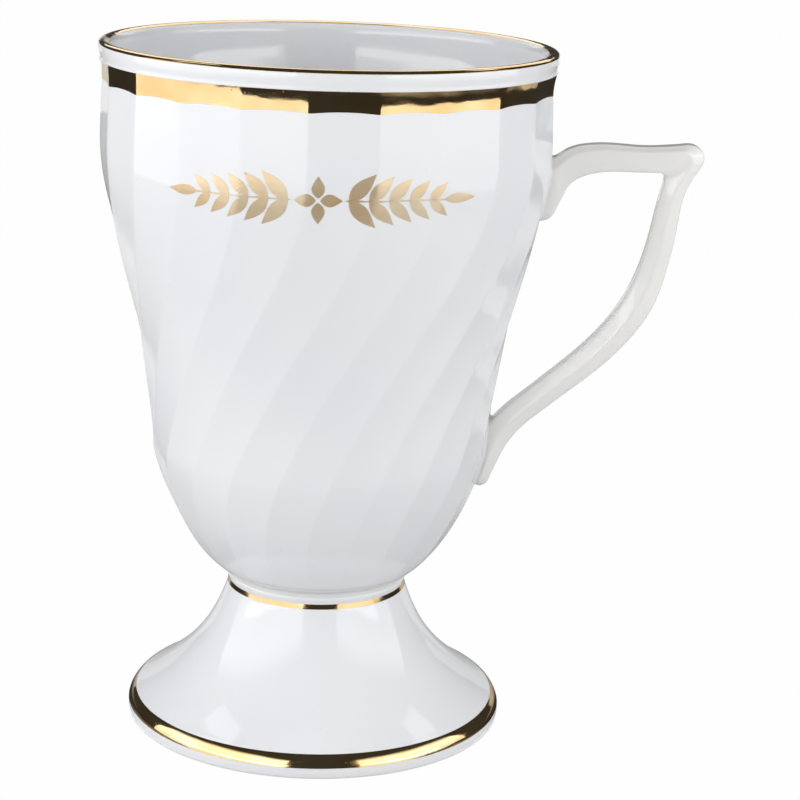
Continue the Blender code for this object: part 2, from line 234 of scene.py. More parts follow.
BEND_RIBS = (6, 11)

# Glaze: scales are per metre, and ranges are the stretch of a pattern that counts; dots are given by
# their scale and size, the scale of the patches that they keep to, and how strong a patch has to be
CLOUD_SCALE = 35.0
CLOUD_RANGE = (0.35, 0.65)
CLOUD_TONES = ((0.965, 0.972, 0.98), (1.0, 1.0, 1.0))
SPECK_DOTS = (420.0, 0.045, 90.0, 0.60)
SPECK_SHARE = 0.25
SPECK_TONE = (0.42, 0.38, 0.33)
BARE_HEIGHTS = (0.0001, 0.0003)
BARE_TONE = (0.74, 0.71, 0.66)
BARE_ROUGHNESS = 0.5
MIST_SCALE = 160.0
MIST_RANGE = (0.3, 0.7)
MIST_ROUGHNESS = 0.03
GLAZE_WAVE_SCALE = 90.0
RIPPLE_SCALE = 500.0
RIPPLE_SHARE = 0.06

# Gold, in the same way; its strokes are drawn out round the cup
STROKE_DRAW = 0.012
STROKE_SCALE = 900.0
STROKE_RANGE = (0.4, 0.7)
STROKE_ROUGHNESS = 0.07
STROKE_RELIEF = 0.05
PATCH_SCALE = 110.0
PATCH_RANGE = (0.35, 0.65)
PATCH_TONES = ((0.93, 0.84, 0.74), (1.0, 1.04, 1.10))
PIT_DOTS = (700.0, 0.10, 170.0, 0.58)
PIT_SHARE = 0.5
PIT_TONE = (0.42, 0.32, 0.20)
PIT_ROUGHNESS = 0.2
GOLD_WAVE_SCALE = 130.0

# Stage: lights by their radiance, and the levels that the gilding mirrors
PANEL_DISTANCE = 0.36
PANEL_LOW = 1.3
PANEL_STEPS = ((0.08, 1.6), (0.12, 1.9), (0.16, 2.15))
PANEL_FADE = (1.6, 1.05, 0.5)
FADE_STEP = 0.04
BACK_GLOW = 1.25
BACK_SIZE = (0.75, 0.39)
BACK_PLACE = (AXIS_X, 0.467, 0.433)
BACK_TILT = math.radians(-45)
ROOM_GLOW = 0.515
ROOM_MIRRORED = 0.045
PAPER_TONE = 0.60
PAPER_SEEN = 0.985
FLOOR_SIZE = 8
FLOOR_Z = -0.0002
FLAG_CORNERS = 64
FLAG_RADII = (0.037, 3.9)
FLAG_Z = 0.0004
FLAG_DARK = 0.038
FLAG_SOFT = 0.03

# Panels: heading from the front in degrees, width, and the heights of the bottom and of the fade's start
PANELS = (
    ("left_panel", -55.5, 0.72, 0.0, 0.26),
    ("right_panel", 68, 0.54, 0.018, 0.215),
)

# Lights that reflections alone show: heading and elevation in degrees, distance, size and radiance
MIRRORED_LIGHTS = (
    ("left_skylight", -102, 58, 0.80, (0.13, 0.20), 1.7),
    ("right_skylight", 118, 52, 0.80, (0.16, 0.13), 1.7),
    ("back_card", -168, 13, 0.80, (0.22, 0.07), 0.5),
    ("low_card", 180, 5.4, 0.80, (1.10, 0.15), 0.5),
    ("right_strip", 59.5, 11.5, 3.0, (2.86, 0.33), 2.2),
    ("left_strip", -49, 11.5, 3.0, (4.86, 0.33), 2.2),
)

# Pale zones of the flag: heading from the front, half width and soft edge in degrees, then the reach
# from the cup's axis at which the zone starts and ends, and its level
FLAG_ZONES = (
    (148, 10, 7, 0.09, 0.41, 0.65),
    (-148, 10, 7, 0.09, 0.41, 0.65),
    (-162, 11, 10, 0.04, 1.20, 0.20),
    (50, 26, 15, 0.16, 0.28, 0.40),
    (180, 24, 8, 0.10, 0.41, 0.50),
    (180, 12, 6, 0.41, 3.80, 0.50),
    (0, 72, 15, 0.0, 0.14, 0.30),
    (180, 60, 15, 0.0, 0.12, 0.35),
)

# Camera
CAMERA_PLACE = (0.01853, -0.41949, 0.17483)
CAMERA_HEADING = math.radians(2.325)
CAMERA_PITCH = math.radians(14.932)
CAMERA_ROLL = math.radians(2.011)
CAMERA_LENS = 102.41
CAMERA_SENSOR = 36
CAMERA_CLIP = 0.01


def smooth_step(value):
    """Ease from 0 to 1 as value goes from 0 to 1, and stay flat outside."""
    value = min(1.0, max(0.0, value))
    return value * value * (3 - 2 * value)


def bezier(start, start_pull, end_pull, end, count):
    """Points (x, z) along a curve; each pull is a vector from its own end of the curve."""
    ends = [Vector((*start, 0)), Vector((*end, 0))]
    first = ends[0] + Vector((*start_pull, 0))
    second = ends[1] + Vector((*end_pull, 0))
    return [(p.x, p.y) for p in interpolate_bezier(ends[0], first, second, ends[1], count)]


def polar(length, angle):
    """A vector (x, z) from its length and its angle above the level."""
    return (length * math.cos(angle), length * math.sin(angle))


def offset(outline, distance):
    """An outline moved sideways, to the left of its direction of travel where positive."""
    moved = []
    for index, (x, z) in enumerate(outline):
        before = outline[max(0, index - 1)]
        after = outline[min(len(outline) - 1, index + 1)]
        along = Vector((after[0] - before[0], after[1] - before[1])).normalized()
        moved.append((x - along.y * distance, z + along.x * distance))
    return moved


def from_axis(point):
    """How far a point lies from the cup's axis."""
    return math.hypot(point.x - AXIS_X, point.y)


def rename(piece, name):
    """Name a piece and its mesh."""
    piece.name = name
    piece.data.name = name
    return piece


def choose(piece):
    """Select a piece alone and make it the active one."""
    bpy.ops.object.select_all(action='DESELECT')
    piece.select_set(True)
    bpy.context.view_layer.objects.active = piece


def open_piece(name):
    """Name the primitive that was just added and open it for shaping, with all of it selected."""
    piece = rename(bpy.context.object, name)
    bpy.ops.object.transform_apply(location=True, rotation=True, scale=True)
    bpy.ops.object.mode_set(mode='EDIT')
    bpy.ops.mesh.select_mode(type='VERT')
    bpy.ops.mesh.select_all(action='SELECT')
    return piece


def add_circle(name, corners, radius, z):
    """A ring of corners round the cup's axis, opened for shaping."""
    bpy.ops.object.select_all(action='DESELECT')
    bpy.ops.mesh.primitive_circle_add(vertices=corners, radius=radius, location=(AXIS_X, 0, z))
    return open_piece(name)


def reopen(piece):
    """Open a finished piece again, with all of it selected."""
    choose(piece)
    bpy.ops.object.mode_set(mode='EDIT')
    bpy.ops.mesh.select_all(action='SELECT')


def pick(piece, kind, test):
    """Select the corners, edges or faces of the open piece that pass a test, and nothing else."""
    bpy.ops.mesh.select_mode(type=kind)
    bpy.ops.mesh.select_all(action='DESELECT')
    shape = bmesh.from_edit_mesh(piece.data)
    parts = {'VERT': shape.verts, 'EDGE': shape.edges, 'FACE': shape.faces}[kind]
    for part in parts:
        if test(part):
            part.select_set(True)
    bmesh.update_edit_mesh(piece.data)


def turn(angle, axis, centre):
    """Turn what is selected by the right-hand rule; without a window the operator turns the other way."""
    bpy.ops.transform.rotate(value=-angle, orient_axis=axis, center_override=centre)


def mean_radius(radius, facet):
    """The mean radius of a ring whose ridges have this radius: a polygon at facet 1, a circle at 0."""
    return radius * (1 - facet * HALF_FACET ** 2 / 3)


def pull_rows(rows):
    """Extrude the selected ring through rows of (radius, height, turn, facet), starting on the first."""
    for before, row in zip(rows, rows[1:]):
        centre = (AXIS_X, 0, row[1])
        grow = mean_radius(row[0], row[3]) / mean_radius(before[0], before[3])
        bpy.ops.mesh.extrude_region_move(TRANSFORM_OT_translate={"value": (0, 0, row[1] - before[1])})
        bpy.ops.transform.resize(value=(grow, grow, 1), center_override=centre)
        if row[2] != before[2]:
            turn(row[2] - before[2], 'Z', centre)
        if row[3] != before[3]:
            bpy.ops.transform.tosphere(value=1 - row[3] / before[3])


def plain_rows(outline):
    """Rows of a round piece."""
    return [(radius, z, 0.0, 0.0) for radius, z in outline]


def close_ring():
    """Close the selected ring with a fan of faces to its centre."""
    bpy.ops.mesh.extrude_region_move()
    bpy.ops.mesh.merge(type='CENTER')


def close_piece(piece):
    """Merge doubled corners, point the faces outwards and shade the piece smooth."""
    bpy.ops.mesh.select_all(action='SELECT')
    bpy.ops.mesh.remove_doubles(threshold=SAME_PLACE)
    bpy.ops.mesh.normals_make_consistent(inside=False)
    bpy.ops.object.mode_set(mode='OBJECT')
    bpy.ops.object.shade_smooth()
    return piece


def apply_modifier(piece, kind, **settings):
    """Add a modifier to a piece, set it up and apply it."""
    choose(piece)
    modifier = piece.modifiers.new(kind.lower(), kind)
    for setting, value in settings.items():
        setattr(modifier, setting, value)
    bpy.ops.object.modifier_apply(modifier=modifier.name)


def duplicate(piece, name):
    """A copy of a finished piece with its own mesh."""
    choose(piece)
    bpy.ops.object.duplicate()
    return rename(bpy.context.object, name)


def copy_faces(source, name, test):
    """A new piece made of a copy of the faces of a piece that pass a test."""
    reopen(source)
    pick(source, 'FACE', test)
    bpy.ops.mesh.duplicate()
    bpy.ops.mesh.separate(type='SELECTED')
    bpy.ops.object.mode_set(mode='OBJECT')
    return rename([made for made in bpy.context.selected_objects if made != source][0], name)


def model_turned(name, corners, outer, inner):
    """A round body: an outer outline pulled up from its first ring, and an inner one from the same."""
    piece = add_circle(name, corners, *outer[0])
    pull_rows(plain_rows(outer))
    close_ring()
    pick(piece, 'EDGE', lambda edge: edge.is_boundary)
    pull_rows(plain_rows([outer[0]] + inner))
    close_ring()
    return close_piece(piece)


def bowl_outline():
    """The bowl's outside from its seat up to the crease under the lip, as (radius, height)."""
    belly_rise = BELLY_Z - SEAT_Z
    side_rise = SHOULDER_Z - BELLY_Z
    rim_rise = CREASE_Z - SHOULDER_Z
    seat = (NECK_RADIUS, SEAT_Z)
    belly = (BELLY_RADIUS, BELLY_Z)
    shoulder = (SHOULDER_RADIUS, SHOULDER_Z)
    crease = (CREASE_RADIUS, CREASE_Z)
    under = bezier(seat, polar(belly_rise * SEAT_PULL, SEAT_SLOPE),
                   polar(-belly_rise * BELLY_PULLS[0], BELLY_SLOPE), belly, UNDER_POINTS)
    side = bezier(belly, polar(side_rise * BELLY_PULLS[1], BELLY_SLOPE),
                  (0, -side_rise * SHOULDER_PULLS[0]), shoulder, SIDE_POINTS)
    rim = bezier(shoulder, (0, rim_rise * SHOULDER_PULLS[1]), (0, -rim_rise * CREASE_PULL), crease,
                 RIM_POINTS)
    straight = [p for p in rim if p[1] < BAND_LOW.z - FILM]
    band = [(CREASE_RADIUS + BAND_FLARE * share ** BAND_CURVE, z) for share, z in band_steps()]
    return under + side[1:] + straight[1:] + band


def band_steps():
    """Shares of the way up the gold band under the lip, with their heights."""
    shares = [step / BAND_STEPS for step in range(BAND_STEPS + 1)]
    return [(share, BAND_LOW.z + (CREASE_Z - BAND_LOW.z) * share) for share in shares]


def facet_row(radius, z):
    """A row of the bowl's outside, with the turn and depth that the facets have at its height."""
    twist = smooth_step((SHOULDER_Z - z) / (SHOULDER_Z - TURN_END_Z))
    depth = smooth_step((z - SEAT_Z) / FACET_FADE)
    return (radius, z, -FACET_TWIST * twist, max(depth, LEAST_FACET))


def lip_outline():
    """The lip from the crease outwards, upright and then rounded over its crown."""
    base = (CREASE_RADIUS + BAND_FLARE + LIP_STEP[0], CREASE_Z + LIP_STEP[1])
    under = (LIP_RADIUS - LIP_UNDER[0], CREASE_Z + LIP_UNDER[1])
    widest = (LIP_RADIUS - LIP_WIDEST[0], LIP_TOP - LIP_WIDEST[1])
    crown = (LIP_RADIUS - LIP_CROWN, LIP_TOP - FILM - FILM_LIFT)
    step = bezier(base, *LIP_STEP_PULLS, under, LIP_POINTS[0])
    side = bezier(under, *LIP_SIDE_PULLS, widest, LIP_POINTS[1])
    over = bezier(widest, *LIP_CROWN_PULLS, crown, LIP_POINTS[2])
    return step + side[1:] + over[1:]


def model_bowl():
    """The bowl: a faceted ring pulled down to the seat, and over the lip down to the floor inside."""
    outline = bowl_outline()
    bowl = add_circle("faceted_bowl", FACETS, *outline[-1])
    bpy.ops.mesh.bevel(offset=RIDGE_ROUND, segments=RIDGE_SEGMENTS, affect='VERTICES')
    pick(bowl, 'EDGE', lambda edge: edge.calc_length() > 2 * RIDGE_ROUND)
    bpy.ops.mesh.subdivide(number_cuts=FACET_CUTS)
    bpy.ops.mesh.select_all(action='SELECT')
    pull_rows([facet_row(*p) for p in outline[::-1]])
    close_ring()
    pick(bowl, 'EDGE', lambda edge: edge.is_boundary)
    lip = lip_outline()
    pull_rows([facet_row(*outline[-1])] + plain_rows(lip + inside_outline(outline, lip[-1])[1:]))
    close_ring()
    lean_band(bowl)
    return close_piece(bowl)


def inside_outline(outline, crown):
    """The bowl's inside from the crown of the lip down to its floor."""
    floor_z = SEAT_Z + FLOOR_THICKNESS
    low = [p for p in offset(outline, WALL) if floor_z + FLOOR_ROUND < p[1] < INSIDE_LOW_Z][::-2]
    low_slope = math.atan2(low[0][1] - low[1][1], low[0][0] - low[1][0])
    top_slope = math.pi / 2 - INSIDE_TOP_LEAN
    waist_slope = math.pi / 2 - INSIDE_WAIST_LEAN
    drop = INSIDE_TOP[1] - INSIDE_WAIST[1]
    mouth = bezier(crown, (-WALL * MOUTH_PULLS[0], 0), polar(WALL * MOUTH_PULLS[1], top_slope),
                   INSIDE_TOP, INSIDE_POINTS[0])
    upper = bezier(INSIDE_TOP, polar(-drop * WAIST_PULL, top_slope), polar(drop * WAIST_PULL, waist_slope),
                   INSIDE_WAIST, INSIDE_POINTS[1])
    lower = bezier(INSIDE_WAIST, polar(-drop, waist_slope), polar(drop, low_slope), low[0], INSIDE_POINTS[2])
    turn_in = bezier(low[-1], (-FLOOR_ROUND * FLOOR_PULLS[0], -FLOOR_ROUND * FLOOR_PULLS[1]),
                     (FLOOR_ROUND, 0), (low[-1][0] * FLOOR_FLAT, floor_z), INSIDE_POINTS[3])
    return mouth + upper[1:] + lower[1:] + low[1:] + turn_in[1:]


def lean_band(bowl):
    """Lean the wall under the lip to one side, as if it had sagged a hair's breadth in the kiln."""
    for share, z in band_steps():
        pick(bowl, 'VERT', lambda corner: abs(corner.co.z - z) < FILM_LIFT
             and from_axis(corner.co) > OUTSIDE)
        bpy.ops.transform.translate(value=(BAND_LEAN[0] * share ** 2, BAND_LEAN[1] * share ** 2, 0))


def foot_outline():
    """The foot's outside from the standing ring to the top of the collar."""
    slope = math.pi - FOOT_SLOPE
    edge_rise = SHOULDER_OF_FOOT[1] - FOOT_EDGE_Z
    start = (FOOT_RADIUS, FOOT_EDGE_Z)
    edge = bezier(start, (0, edge_rise * EDGE_PULLS[0]), polar(-edge_rise * EDGE_PULLS[1], slope),
                  SHOULDER_OF_FOOT, EDGE_POINTS)
    neck = (NECK_RADIUS + LINE_TAPER, NECK_LOW.z)
    bell_rise = neck[1] - SHOULDER_OF_FOOT[1]
    bell = bezier(SHOULDER_OF_FOOT, polar(bell_rise * BELL_PULL, slope),
                  (bell_rise * NECK_PULL[0], bell_rise * NECK_PULL[1]), neck, BELL_POINTS)
    corner = FOOT_RADIUS - FOOT_EDGE_ROUND
    bottom = [(corner + FOOT_EDGE_ROUND * math.sin(a), FOOT_EDGE_ROUND * (1 - math.cos(a)))
              for a in FOOT_EDGE_TURNS]
    collar = [(NECK_RADIUS, NECK_HIGH.z), (COLLAR_RADII[0], NECK_HIGH.z + COLLAR_RISE),
              (COLLAR_RADII[1], FOOT_TOP - COLLAR_EDGE), (COLLAR_RADII[2], FOOT_TOP)]
    return bottom + edge + bell[1:] + collar, bell


def model_foot():
    """The hollow foot: standing ring, rounded edge, bell, neck and collar, closed by its crown."""
    outer, bell = foot_outline()
    ceiling = FOOT_TOP - CROWN
    hollow = [p for p in offset(bell, FOOT_WALL) if FOOT_EDGE_ROUND < p[1] < ceiling - FOOT_WALL]
    stand = (FOOT_RADIUS - FOOT_EDGE_ROUND - STANDING_RING, 0)
    roof = bezier(hollow[-1], (-FOOT_WALL * ROOF_PULLS[0], FOOT_WALL * ROOF_PULLS[1]), (FOOT_WALL, 0),
                  (hollow[-1][0] * ROOF_FLAT, ceiling), ROOF_POINTS)
    return model_turned("bell_foot", FOOT_CORNERS, outer, [stand] + hollow + roof[1:])


def model_neck_joint():
    """The fired slip between foot and bowl, a disc whose rim fills the corner under the bowl."""
    start = (COLLAR_RADII[0], FOOT_TOP - NECK_JOINT_SINK)
    end = (NECK_RADIUS + NECK_JOINT_REACH[0], SEAT_Z + NECK_JOINT_REACH[1])
    rim = bezier(start, *NECK_JOINT_PULLS, end, NECK_JOINT_POINTS)
    upper = rim + [(NECK_RADIUS, SEAT_Z + NECK_JOINT_SINK), (NECK_RADIUS / 2, SEAT_Z)]
    lower = [(NECK_RADIUS, FOOT_TOP - NECK_JOINT_SINK), (NECK_RADIUS / 2, FOOT_TOP)]
    return model_turned("neck_joint", FOOT_CORNERS, upper, lower)


def handle_sections():
    """Sections (centre, tilt, half thickness, half width) along a smooth curve through the ribs."""
    ribs = [Vector(rib) * MILLIMETRE for rib in HANDLE_RIBS]
    sections = []
    for index in range(len(ribs) - 1):
        around = [ribs[max(0, index - 1)], ribs[index], ribs[index + 1], ribs[min(len(ribs) - 1, index + 2)]]
        for step in range(SECTIONS_PER_RIB):
            sections.append(section_between(around, step / SECTIONS_PER_RIB))
    sections.append(section_between([ribs[-2], ribs[-1], ribs[-1], ribs[-1]], 0.0))
    return sections


def section_between(around, share):
    """The section at a share of the way between the middle two of four ribs."""
    first, second, third, fourth = around
    bend = (2 * first - 5 * second + 4 * third - fourth) * share ** 2
    bend += (3 * second - first - 3 * third + fourth) * share ** 3
    rib = second + ((third - first) * share + bend) / 2
    outer = Vector((AXIS_X + rib[0], 0, rib[1]))
    inner = Vector((AXIS_X + rib[2], 0, rib[3]))
    across = outer - inner
    return (outer + inner) / 2, math.atan2(across.z, across.x), across.length / 2, rib[4]


def model_handle():
    """The handle: a six-sided ring swept through its sections, from one root to the other."""
    origin = (0, 0, 0)
    sections = handle_sections()
    bpy.ops.object.select_all(action='DESELECT')
    bpy.ops.mesh.primitive_circle_add(vertices=SECTION_SIDES, radius=1)
    handle = open_piece("loop_handle")
    half_side = math.pi / SECTION_SIDES
    bpy.ops.transform.resize(value=(1 / math.cos(half_side), 1, 1), center_override=origin)
    pick(handle, 'VERT', lambda corner: abs(corner.co.x) > 0.5)
    bpy.ops.transform.resize(value=(1, SECTION_FLAT / math.sin(half_side), 1), center_override=origin)
    bpy.ops.mesh.select_all(action='SELECT')
    bpy.ops.mesh.bevel(offset=SECTION_ROUND, segments=SECTION_SEGMENTS, affect='VERTICES')
    bpy.ops.mesh.select_all(action='SELECT')
    corners = len(bmesh.from_edit_mesh(handle.data).verts)
    centre, tilt, thick, wide = sections[0]
    bpy.ops.transform.resize(value=(thick, wide, 1), center_override=origin)
    turn(-tilt, 'Y', origin)
    bpy.ops.transform.translate(value=centre)
    for place, next_tilt, next_thick, next_wide in sections[1:]:
        bpy.ops.mesh.extrude_region_move(TRANSFORM_OT_translate={"value": place - centre})
        turn(tilt, 'Y', place)
        bpy.ops.transform.resize(value=(next_thick / thick, next_wide / wide, 1), center_override=place)
        turn(-next_tilt, 'Y', place)
        centre, tilt, thick, wide = place, next_tilt, next_thick, next_wide
    shape_ridge(handle, sections, corners)
    bpy.ops.mesh.select_all(action='SELECT')
    bpy.ops.mesh.fill_holes(sides=0)
    close_piece(handle)
    apply_modifier(handle, 'SUBSURF', levels=1, render_levels=1)
    return handle


def shape_ridge(handle, sections, corners):
    """On the upper arm, move the ridge along the handle's sides outwards and widen the arm's inside."""
    for index, (centre, tilt, thick, wide) in enumerate(sections):
        along = index / SECTIONS_PER_RIB
        tail = smooth_step((along - BEND_RIBS[0]) / (BEND_RIBS[1] - BEND_RIBS[0]))
        outwards = Vector((math.cos(tilt), 0, math.sin(tilt)))
        ring = range(index * corners, (index + 1) * corners)
        pick(handle, 'VERT', lambda corner: corner.index in ring and abs(corner.co.y) > wide * RIDGE_FROM)
        bpy.ops.transform.translate(value=outwards * thick * (ARM_RIDGE + (TAIL_RIDGE - ARM_RIDGE) * tail))
        pick(handle, 'VERT', lambda corner: corner.index in ring
             and outwards.dot(corner.co - centre) < -thick * INNER_FROM)
        bpy.ops.transform.resize(value=(1, ARM_INNER_WIDTH + (1 - ARM_INNER_WIDTH) * tail, 1),
                                 center_override=(0, 0, 0))


def model_joint(name, bowl, handle, low, high):
    """The slip round a root: wall and root melted together, then drawn in so that only the corner shows."""
    joint = copy_faces(bowl, name, lambda face: near_root(face.calc_center_median(), low, high))
    apply_modifier(joint, 'SOLIDIFY', thickness=JOINT_DEPTH, offset=-1.0)
    root = duplicate(handle, "root_copy")
    reopen(root)
    cut_x = AXIS_X + wall_radius((low + high) / 2) + ROOT_REACH
    bpy.ops.mesh.bisect(plane_co=(cut_x, 0, 0), plane_no=(1, 0, 0), use_fill=True, clear_outer=True)
    pick(root, 'VERT', lambda corner: not low < corner.co.z < high)
    bpy.ops.mesh.delete(type='VERT')
    bpy.ops.mesh.select_all(action='SELECT')
    bpy.ops.mesh.fill_holes(sides=0)
    bpy.ops.mesh.normals_make_consistent(inside=False)
    bpy.ops.object.mode_set(mode='OBJECT')
    apply_modifier(joint, 'BOOLEAN', operation='UNION', object=root, solver='EXACT')
    bpy.data.objects.remove(root)
    apply_modifier(joint, 'REMESH', mode='VOXEL', voxel_size=JOINT_GRAIN, use_smooth_shade=True)
    apply_modifier(joint, 'SMOOTH', factor=JOINT_SMOOTHING, iterations=JOINT_ROUNDS)
    reopen(joint)
    bpy.ops.transform.shrink_fatten(value=-JOINT_SINK)
    bpy.ops.object.mode_set(mode='OBJECT')
    return joint


def near_root(point, low, high):
    """Whether a point of the wall lies under a root of the handle."""
    beside = point.x > AXIS_X and abs(point.y) < ROOT_HALF_WIDTH
    return low < point.z < high and beside and from_axis(point) > wall_radius(point.z) - WALL / 2


def wall_radius(z):
    """The radius of the bowl's outside at a height."""
    return min(bowl_outline(), key=lambda p: abs(p[1] - z))[0]


def copy_ring(source, name, low, high, least_radius):
    """A copy of the faces of a piece between two heights and outside a radius."""
    def in_ring(face):
        middle = face.calc_center_median()
        return low < middle.z < high and from_axis(middle) > least_radius
    return copy_faces(source, name, in_ring)


def thicken_film(film):
    """Lift a film off the glaze and give it its thickness."""
    reopen(film)
    bpy.ops.transform.shrink_fatten(value=FILM_LIFT)
    bpy.ops.object.mode_set(mode='OBJECT')
    apply_modifier(film, 'SOLIDIFY', thickness=FILM, offset=1.0)
    bpy.ops.object.shade_smooth_by_angle(angle=FILM_CREASE)
    return film


def model_rim_band(bowl):
    """The gold band under the lip, whose lower edge hangs a little at every ridge."""
    band = copy_ring(bowl, "rim_gold_band", BAND_LOW.z, CREASE_Z, OUTSIDE)
    reopen(band)
    for step in range(SCALLOP_STEPS):
        near = step / SCALLOP_STEPS
        far = (step + 1) / SCALLOP_STEPS
        pick(band, 'VERT', lambda corner: corner.co.z < BAND_LOW.z + FILM
             and near <= off_ridge(corner.co) < far)
        bpy.ops.transform.translate(value=(0, 0, -SCALLOP * (1 - (near + far) / 2) ** 2))
    bpy.ops.object.mode_set(mode='OBJECT')
    return thicken_film(band)


def off_ridge(point):
    """How far round a point lies between the nearest ridge, at 0, and the middle of a facet, at 1."""
    angle = math.atan2(point.y, point.x - AXIS_X) / (2 * HALF_FACET)
    return abs(angle - FIRST_RIDGE - round(angle - FIRST_RIDGE)) * 2


def model_ring_film(source, name, low, high, least_radius):
    """A gold line or band round a piece, between two heights and outside a radius."""
    return thicken_film(copy_ring(source, name, low, high, least_radius))


def shape_leaf(name):
    """A flat leaf of unit length along +X with its stalk at the origin, facing the front."""
    bpy.ops.object.select_all(action='DESELECT')
    bpy.ops.mesh.primitive_grid_add(x_subdivisions=LEAF_COLUMNS, y_subdivisions=LEAF_ROWS, size=1)
    leaf = open_piece(name)
    for column in range(LEAF_COLUMNS + 1):
        share = column / LEAF_COLUMNS
        place = share - 0.5
        pick(leaf, 'VERT', lambda corner: abs(corner.co.x - place) < 0.1 / LEAF_COLUMNS)
        wide = max(LEAF_WIDTH * math.sin(math.pi * share ** LEAF_POINT), LEAF_TIP)
        bpy.ops.transform.resize(value=(1, wide, 1), center_override=(place, 0, 0))
    bpy.ops.mesh.select_all(action='SELECT')
    bpy.ops.transform.translate(value=(0.5, 0, 0))
    turn(math.pi / 2, 'X', (0, 0, 0))
    bpy.ops.object.mode_set(mode='OBJECT')
    return leaf


def set_leaf(leaf, length, width, angle, x, z):
    """A copy of the leaf in front of the bowl, turned and set at a place from the ornament's middle."""
    copy = duplicate(leaf, "leaf")
    reopen(copy)
    bpy.ops.transform.resize(value=(length, 1, width), center_override=(0, 0, 0))
    turn(-angle, 'Y', (0, 0, 0))
    bpy.ops.transform.translate(value=(SPRIG_X + x, -2 * LIP_RADIUS, SPRIG_Z + z))
    bpy.ops.object.mode_set(mode='OBJECT')
    return copy


def model_sprig(bowl):
    """A gold sprig of leaves on both sides of a four-petalled flower, laid on the front of the bowl."""
    leaf = shape_leaf("leaf_pattern")
    placed = []
    for quarter in range(4):
        angle = quarter * math.pi / 2
        placed.append(set_leaf(leaf, *PETAL, angle, *polar(PETAL_GAP, angle)))
    for side in (1, -1):
        along = 0.0 if side > 0 else math.pi
        for step in range(SPRIG_PAIRS):
            x = SPRIG_START + step * SPRIG_STEP
            length = LEAF_LENGTH * (1 - LEAF_SHRINK * step)
            placed.append(set_leaf(leaf, *STEM, along, side * (x - STEM_BACK), 0))
            for tilt in (LEAF_TILT, -LEAF_TILT):
                placed.append(set_leaf(leaf, length, length, along + side * tilt, side * x, 0))
        x = SPRIG_START + SPRIG_PAIRS * SPRIG_STEP
        placed.append(set_leaf(leaf, *END_LEAF, along, side * (x - END_BACK), 0))
    bpy.data.objects.remove(leaf)
    bpy.ops.object.select_all(action='DESELECT')
    for part in placed:
        part.select_set(True)
    bpy.context.view_layer.objects.active = placed[0]
    bpy.ops.object.join()
    sprig = rename(bpy.context.object, "gold_sprig")
    apply_modifier(sprig, 'SHRINKWRAP', target=bowl, wrap_method='PROJECT', use_project_y=True,
                   offset=FILM + FILM_LIFT)
    apply_modifier(sprig, 'SOLIDIFY', thickness=FILM, offset=-1.0)
    return sprig


def dress(piece, material, slot, *nodes):
    """Give a piece its finish, tie it to the cup and let it stand for its solid."""
    piece.data.materials.clear()
    piece.data.materials.append(material)
    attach(piece, "root")
    if nodes:
        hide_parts(*nodes)


class Web:
    """A node tree that is put together one node at a time."""

    def __init__(self, tree):
        self.tree = tree

    def add(self, kind, settings=None, **inputs):
        """Add a node, set its options, and set or link its inputs, named with _ for spaces."""
        node = self.tree.nodes.new("ShaderNode" + kind)
        for option, value in (settings or {}).items():
            setattr(node, option, value)
        for key, value in inputs.items():
            socket = node.inputs[int(key[1:])] if key[0] == "_" else node.inputs[key.replace("_", " ")]
            if isinstance(value, bpy.types.NodeSocket):
                self.tree.links.new(value, socket)
            else:
                socket.default_value = value
        return node

    def math(self, operation, first, second=0.0):
        """Reckon with one or two values."""
        return self.add("Math", {"operation": operation}, _0=first, _1=second).outputs[0]

    def spread(self, value, low, high, to_low, to_high):
        """Map a value from one range to another, and keep it within that."""
        node = self.add("MapRange", Value=value, From_Min=low, From_Max=high, To_Min=to_low, To_Max=to_high)
        return node.outputs["Result"]

    def noise(self, place, scale, detail=2.0):
        """A cloudy pattern, with so many clouds to the metre."""
        node = self.add("TexNoise", Vector=place, Scale=scale, Detail=detail)
        return node.outputs["Fac"]

    def dots(self, place, scale, size, patch_scale, least):
        """A mask of small dots, in the patches where a noise is stronger than the least."""
        grains = self.add("TexVoronoi", Vector=place, Scale=scale).outputs["Distance"]
        patch = self.math('GREATER_THAN', self.noise(place, patch_scale), least)
        return self.math('MULTIPLY', self.math('LESS_THAN', grains, size), patch)

    def blend(self, share, first, second, way='MIX'):
        """Mix two colours, or multiply them."""
        node = self.add("Mix", {"data_type": 'RGBA', "blend_type": way}, Factor=share)
        for socket, value in ((node.inputs[6], first), (node.inputs[7], second)):
            if isinstance(value, bpy.types.NodeSocket):
                self.tree.links.new(value, socket)
            else:
                socket.default_value = (*value, 1)
        return node.outputs[2]

    def from_cup_axis(self):
        """The place on the cup, in metres from its axis on the table."""
        place = self.add("TexCoord").outputs["Object"]
        return self.add("Mapping", Vector=place, Location=(-AXIS_X, 0, 0)).outputs[0]


def new_group(name, takes, gives):
    """An empty node group with its inputs and outputs; a name that ends in Colour makes a colour."""
    group = bpy.data.node_groups.new(name, "ShaderNodeTree")
    for direction, names in (('INPUT', takes), ('OUTPUT', gives)):
        for socket in names:
            kind = "NodeSocketColor" if socket.endswith("Colour") else "NodeSocketFloat"
            group.interface.new_socket(socket, in_out=direction, socket_type=kind)
    web = Web(group)
    return group, web, group.nodes.new("NodeGroupInput").outputs, group.nodes.new("NodeGroupOutput").inputs


def join(web, pairs):
    """Link pairs of sockets."""
    for source, target in pairs:
        web.tree.links.new(source, target)


